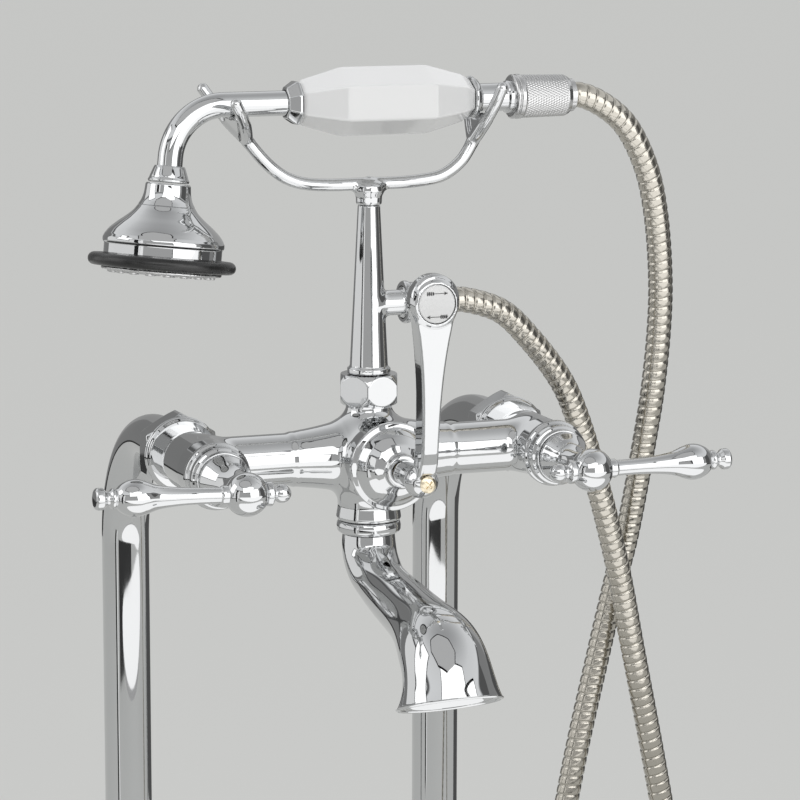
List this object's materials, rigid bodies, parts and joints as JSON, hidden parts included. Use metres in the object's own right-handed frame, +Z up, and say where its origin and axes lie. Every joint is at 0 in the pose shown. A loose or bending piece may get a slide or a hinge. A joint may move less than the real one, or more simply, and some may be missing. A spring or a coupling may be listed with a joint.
{
  "type": "bath faucet with hand shower",
  "caption": "Freestanding bath filler on two floor risers, with lever valves, a swan-neck spout, a shower diverter and a cradled hand shower on a metal hose.",
  "frame": {"origin": "on the floor, midway between the axes of the two supply risers", "axes": "+Z up, -Y to the front where the spout and handles are, +X to the right of someone who faces the faucet"},
  "size_m": [0.3821, 0.3087, 0.8959],
  "materials": {
    "chrome": "polished",
    "satin_chrome": "satin",
    "knurled_chrome": "knurled",
    "hose_steel": "bright interlocked strip",
    "porcelain": "gloss glaze",
    "white_button": "gloss",
    "brass_screw": "polished",
    "inner_brass": "machined",
    "steel_screw": "machined",
    "seal_rubber": "matt",
    "ring_rubber": "satin"
  },
  "bodies": {
    "root": {"supply_riser_left": "chrome", "supply_riser_right": "chrome", "floor_flange_left": "chrome", "floor_flange_right": "chrome", "union_nut_left": "chrome", "union_nut_right": "chrome", "union_washer_left": "seal_rubber", "union_washer_right": "seal_rubber", "valve_body": "chrome", "valve_bonnet_left": "chrome", "valve_bonnet_right": "chrome", "valve_cartridge_left": "inner_brass", "valve_cartridge_right": "inner_brass", "diverter_bonnet": "chrome", "diverter_cartridge": "inner_brass", "spout": "chrome", "spout_collar": "chrome", "spout_o_ring": "seal_rubber", "column_nut": "chrome", "column_seal": "seal_rubber", "column": "chrome", "cradle": "chrome", "cradle_screw": "steel_screw", "hose_nut_outlet": "chrome", "hose_washer_outlet": "seal_rubber", "hose": "hose_steel"},
    "handle_left": {"handle_hub_left": "chrome", "handle_lever_left": "chrome", "handle_finial_left": "chrome", "handle_set_screw_left": "steel_screw", "valve_stem_left": "inner_brass"},
    "handle_right": {"handle_hub_right": "chrome", "handle_lever_right": "chrome", "handle_finial_right": "chrome", "handle_set_screw_right": "steel_screw", "valve_stem_right": "inner_brass"},
    "diverter": {"diverter_stem": "inner_brass", "diverter_lever": "chrome", "diverter_button": "white_button", "diverter_screw": "brass_screw"},
    "handset": {"handset_neck": "chrome", "grip_ferrule": "chrome", "grip_washer": "seal_rubber", "grip": "porcelain", "grip_core": "inner_brass", "grip_cup": "chrome", "handset_rear_tube": "chrome", "hose_nut_handset": "knurled_chrome", "hose_washer_handset": "seal_rubber", "head_shell": "chrome", "head_nut": "chrome", "head_collar": "chrome", "head_washer": "seal_rubber", "face_plate": "satin_chrome", "rubber_ring": "ring_rubber"}
  },
  "joints": [
    {"name": "handle_left_turn", "type": "hinge", "parent": "root", "child": "handle_left", "pos_m": [-0.0893, -0.2147, 0.7], "axis": [0, -1, 0], "range_deg": [0, 90]},
    {"name": "handle_right_turn", "type": "hinge", "parent": "root", "child": "handle_right", "pos_m": [0.0893, -0.2147, 0.7], "axis": [0, 1, 0], "range_deg": [0, 90]},
    {"name": "diverter_turn", "type": "hinge", "parent": "root", "child": "diverter", "pos_m": [0, -0.213, 0.7], "axis": [0, 1, 0], "range_deg": [-45, 45]},
    {"name": "handset_lift", "type": "slide", "parent": "root", "child": "handset", "axis": [0, 0, 1], "range_m": [0, 0.04]}
  ]
}
